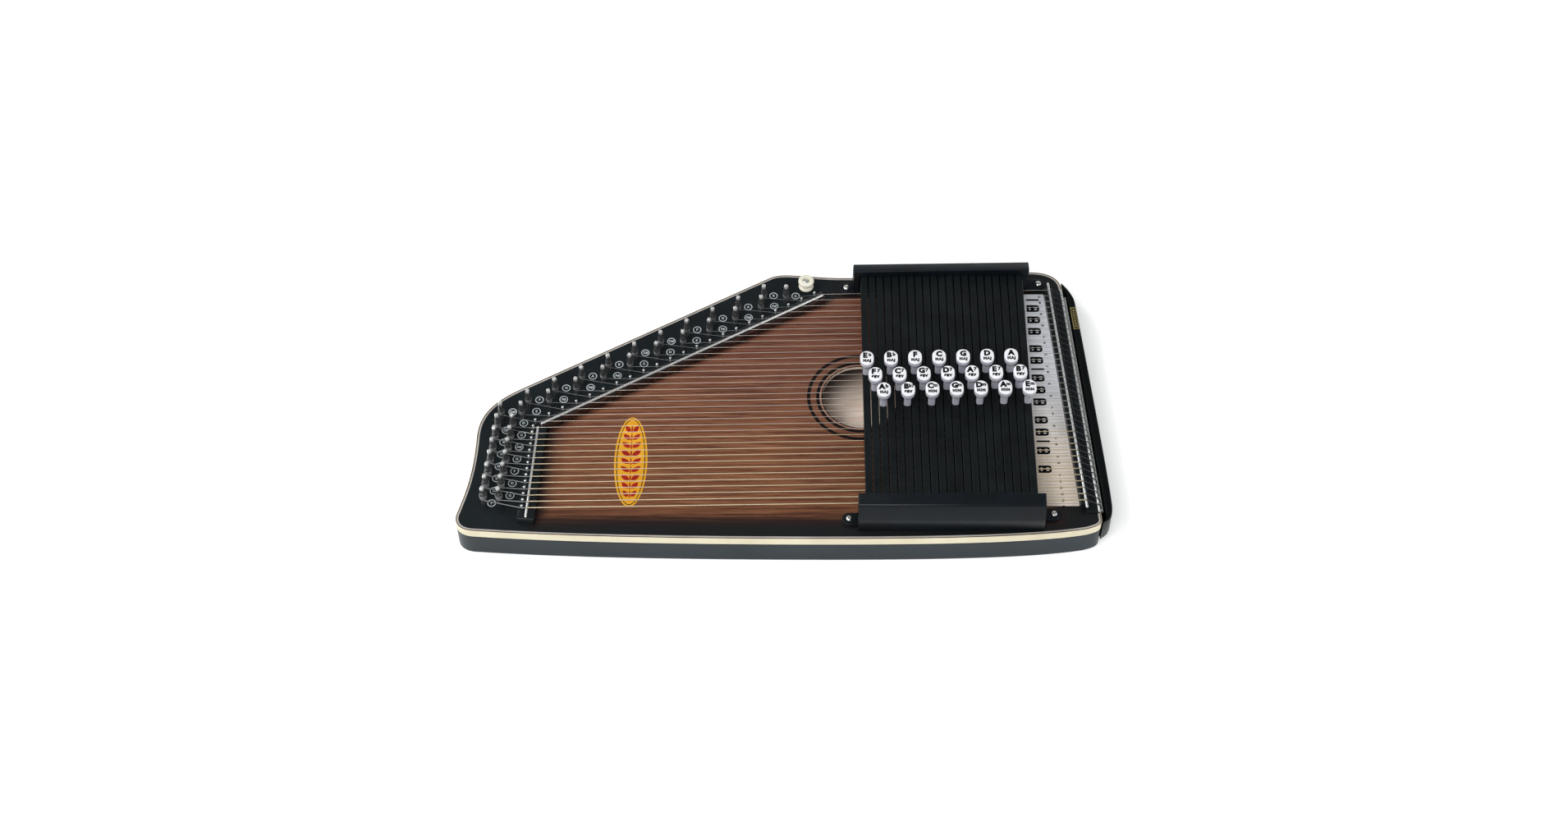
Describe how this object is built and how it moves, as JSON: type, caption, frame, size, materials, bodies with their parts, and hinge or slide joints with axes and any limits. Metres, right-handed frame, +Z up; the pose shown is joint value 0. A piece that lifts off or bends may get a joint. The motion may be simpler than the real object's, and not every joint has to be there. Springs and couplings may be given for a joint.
{
  "type": "chorded zither",
  "caption": "Shallow wooden zither with stretched strings over a sound hole, and sprung felted chord bars worked by push buttons.",
  "frame": {"origin": "middle of the object's box, on the underside of the back", "axes": "+X along the long bass side towards the end cover, +Y towards the short treble side, +Z up out of the soundboard"},
  "size_m": [0.5538, 0.2875, 0.078],
  "materials": {
    "top_wood": "gloss lacquer over reddish-brown wood, shaded to black at the edges",
    "body_lacquer": "gloss black lacquer",
    "cream_binding": "gloss",
    "string_steel": "plain bright wire",
    "string_bronze": "wound wire",
    "rod_steel": "bright rod on a black strip",
    "pin_steel": "bright tuning pins",
    "holder_plastic": "satin black",
    "bar_lacquer": "satin black bars",
    "felt": "pressed felt",
    "button_plastic": "satin white",
    "button_ink": "printed chord letters",
    "spring_steel": "bright coil springs",
    "screw_steel": "bright cross-head screws",
    "cover_plastic": "satin black",
    "strap_plastic": "gloss cream",
    "chart_paper": "printed paper",
    "decal_yellow": "printed decal",
    "label_gold": "printed label"
  },
  "bodies": {
    "body": {"soundboard": "top_wood", "back_panel": "body_lacquer", "pin_block": "body_lacquer", "inner_frame": "body_lacquer", "binding": "cream_binding", "strings": "string_steel", "nut": "rod_steel", "bridge": "rod_steel", "bar_holder_near": "holder_plastic", "bar_holder_far": "holder_plastic", "bar_springs_near": "spring_steel", "bar_springs_far": "spring_steel", "end_cover": "cover_plastic", "strap_button": "strap_plastic", "holder_screw_near_left": "screw_steel", "holder_screw_near_right": "screw_steel", "holder_screw_far_left": "screw_steel", "holder_screw_far_right": "screw_steel"},
    "chord_01_eb_major": {"chord_bar_01_eb_major": "bar_lacquer", "button_01_eb_major": "button_plastic"},
    "chord_02_f_seventh": {"chord_bar_02_f_seventh": "bar_lacquer", "button_02_f_seventh": "button_plastic"},
    "chord_03_ab_major": {"chord_bar_03_ab_major": "bar_lacquer", "button_03_ab_major": "button_plastic"},
    "chord_04_bb_major": {"chord_bar_04_bb_major": "bar_lacquer", "button_04_bb_major": "button_plastic"},
    "chord_05_c_seventh": {"chord_bar_05_c_seventh": "bar_lacquer", "button_05_c_seventh": "button_plastic"},
    "chord_06_bb_seventh": {"chord_bar_06_bb_seventh": "bar_lacquer", "button_06_bb_seventh": "button_plastic"},
    "chord_07_f_major": {"chord_bar_07_f_major": "bar_lacquer", "button_07_f_major": "button_plastic"},
    "chord_08_g_seventh": {"chord_bar_08_g_seventh": "bar_lacquer", "button_08_g_seventh": "button_plastic"},
    "chord_09_c_minor": {"chord_bar_09_c_minor": "bar_lacquer", "button_09_c_minor": "button_plastic"},
    "chord_10_c_major": {"chord_bar_10_c_major": "bar_lacquer", "button_10_c_major": "button_plastic"},
    "chord_11_d_seventh": {"chord_bar_11_d_seventh": "bar_lacquer", "button_11_d_seventh": "button_plastic"},
    "chord_12_g_minor": {"chord_bar_12_g_minor": "bar_lacquer", "button_12_g_minor": "button_plastic"},
    "chord_13_g_major": {"chord_bar_13_g_major": "bar_lacquer", "button_13_g_major": "button_plastic"},
    "chord_14_a_seventh": {"chord_bar_14_a_seventh": "bar_lacquer", "button_14_a_seventh": "button_plastic"},
    "chord_15_d_minor": {"chord_bar_15_d_minor": "bar_lacquer", "button_15_d_minor": "button_plastic"},
    "chord_16_d_major": {"chord_bar_16_d_major": "bar_lacquer", "button_16_d_major": "button_plastic"},
    "chord_17_e_seventh": {"chord_bar_17_e_seventh": "bar_lacquer", "button_17_e_seventh": "button_plastic"},
    "chord_18_a_minor": {"chord_bar_18_a_minor": "bar_lacquer", "button_18_a_minor": "button_plastic"},
    "chord_19_a_major": {"chord_bar_19_a_major": "bar_lacquer", "button_19_a_major": "button_plastic"},
    "chord_20_b_seventh": {"chord_bar_20_b_seventh": "bar_lacquer", "button_20_b_seventh": "button_plastic"},
    "chord_21_e_minor": {"chord_bar_21_e_minor": "bar_lacquer", "button_21_e_minor": "button_plastic"}
  },
  "joints": [
    {"name": "press_01_eb_major", "type": "slide", "parent": "body", "child": "chord_01_eb_major", "axis": [0, 0, -1], "range_m": [0, 0.0034], "stiffness_N_per_m": 600, "springref_m": -0.005, "deforming": ["bar_springs_near", "bar_springs_far"]},
    {"name": "press_02_f_seventh", "type": "slide", "parent": "body", "child": "chord_02_f_seventh", "axis": [0, 0, -1], "range_m": [0, 0.0034], "stiffness_N_per_m": 600, "springref_m": -0.005, "deforming": ["bar_springs_near", "bar_springs_far"]},
    {"name": "press_03_ab_major", "type": "slide", "parent": "body", "child": "chord_03_ab_major", "axis": [0, 0, -1], "range_m": [0, 0.0034], "stiffness_N_per_m": 600, "springref_m": -0.005, "deforming": ["bar_springs_near", "bar_springs_far"]},
    {"name": "press_04_bb_major", "type": "slide", "parent": "body", "child": "chord_04_bb_major", "axis": [0, 0, -1], "range_m": [0, 0.0034], "stiffness_N_per_m": 600, "springref_m": -0.005, "deforming": ["bar_springs_near", "bar_springs_far"]},
    {"name": "press_05_c_seventh", "type": "slide", "parent": "body", "child": "chord_05_c_seventh", "axis": [0, 0, -1], "range_m": [0, 0.0034], "stiffness_N_per_m": 600, "springref_m": -0.005, "deforming": ["bar_springs_near", "bar_springs_far"]},
    {"name": "press_06_bb_seventh", "type": "slide", "parent": "body", "child": "chord_06_bb_seventh", "axis": [0, 0, -1], "range_m": [0, 0.0034], "stiffness_N_per_m": 600, "springref_m": -0.005, "deforming": ["bar_springs_near", "bar_springs_far"]},
    {"name": "press_07_f_major", "type": "slide", "parent": "body", "child": "chord_07_f_major", "axis": [0, 0, -1], "range_m": [0, 0.0034], "stiffness_N_per_m": 600, "springref_m": -0.005, "deforming": ["bar_springs_near", "bar_springs_far"]},
    {"name": "press_08_g_seventh", "type": "slide", "parent": "body", "child": "chord_08_g_seventh", "axis": [0, 0, -1], "range_m": [0, 0.0034], "stiffness_N_per_m": 600, "springref_m": -0.005, "deforming": ["bar_springs_near", "bar_springs_far"]},
    {"name": "press_09_c_minor", "type": "slide", "parent": "body", "child": "chord_09_c_minor", "axis": [0, 0, -1], "range_m": [0, 0.0034], "stiffness_N_per_m": 600, "springref_m": -0.005, "deforming": ["bar_springs_near", "bar_springs_far"]},
    {"name": "press_10_c_major", "type": "slide", "parent": "body", "child": "chord_10_c_major", "axis": [0, 0, -1], "range_m": [0, 0.0034], "stiffness_N_per_m": 600, "springref_m": -0.005, "deforming": ["bar_springs_near", "bar_springs_far"]},
    {"name": "press_11_d_seventh", "type": "slide", "parent": "body", "child": "chord_11_d_seventh", "axis": [0, 0, -1], "range_m": [0, 0.0034], "stiffness_N_per_m": 600, "springref_m": -0.005, "deforming": ["bar_springs_near", "bar_springs_far"]},
    {"name": "press_12_g_minor", "type": "slide", "parent": "body", "child": "chord_12_g_minor", "axis": [0, 0, -1], "range_m": [0, 0.0034], "stiffness_N_per_m": 600, "springref_m": -0.005, "deforming": ["bar_springs_near", "bar_springs_far"]},
    {"name": "press_13_g_major", "type": "slide", "parent": "body", "child": "chord_13_g_major", "axis": [0, 0, -1], "range_m": [0, 0.0034], "stiffness_N_per_m": 600, "springref_m": -0.005, "deforming": ["bar_springs_near", "bar_springs_far"]},
    {"name": "press_14_a_seventh", "type": "slide", "parent": "body", "child": "chord_14_a_seventh", "axis": [0, 0, -1], "range_m": [0, 0.0034], "stiffness_N_per_m": 600, "springref_m": -0.005, "deforming": ["bar_springs_near", "bar_springs_far"]},
    {"name": "press_15_d_minor", "type": "slide", "parent": "body", "child": "chord_15_d_minor", "axis": [0, 0, -1], "range_m": [0, 0.0034], "stiffness_N_per_m": 600, "springref_m": -0.005, "deforming": ["bar_springs_near", "bar_springs_far"]},
    {"name": "press_16_d_major", "type": "slide", "parent": "body", "child": "chord_16_d_major", "axis": [0, 0, -1], "range_m": [0, 0.0034], "stiffness_N_per_m": 600, "springref_m": -0.005, "deforming": ["bar_springs_near", "bar_springs_far"]},
    {"name": "press_17_e_seventh", "type": "slide", "parent": "body", "child": "chord_17_e_seventh", "axis": [0, 0, -1], "range_m": [0, 0.0034], "stiffness_N_per_m": 600, "springref_m": -0.005, "deforming": ["bar_springs_near", "bar_springs_far"]},
    {"name": "press_18_a_minor", "type": "slide", "parent": "body", "child": "chord_18_a_minor", "axis": [0, 0, -1], "range_m": [0, 0.0034], "stiffness_N_per_m": 600, "springref_m": -0.005, "deforming": ["bar_springs_near", "bar_springs_far"]},
    {"name": "press_19_a_major", "type": "slide", "parent": "body", "child": "chord_19_a_major", "axis": [0, 0, -1], "range_m": [0, 0.0034], "stiffness_N_per_m": 600, "springref_m": -0.005, "deforming": ["bar_springs_near", "bar_springs_far"]},
    {"name": "press_20_b_seventh", "type": "slide", "parent": "body", "child": "chord_20_b_seventh", "axis": [0, 0, -1], "range_m": [0, 0.0034], "stiffness_N_per_m": 600, "springref_m": -0.005, "deforming": ["bar_springs_near", "bar_springs_far"]},
    {"name": "press_21_e_minor", "type": "slide", "parent": "body", "child": "chord_21_e_minor", "axis": [0, 0, -1], "range_m": [0, 0.0034], "stiffness_N_per_m": 600, "springref_m": -0.005, "deforming": ["bar_springs_near", "bar_springs_far"]}
  ]
}
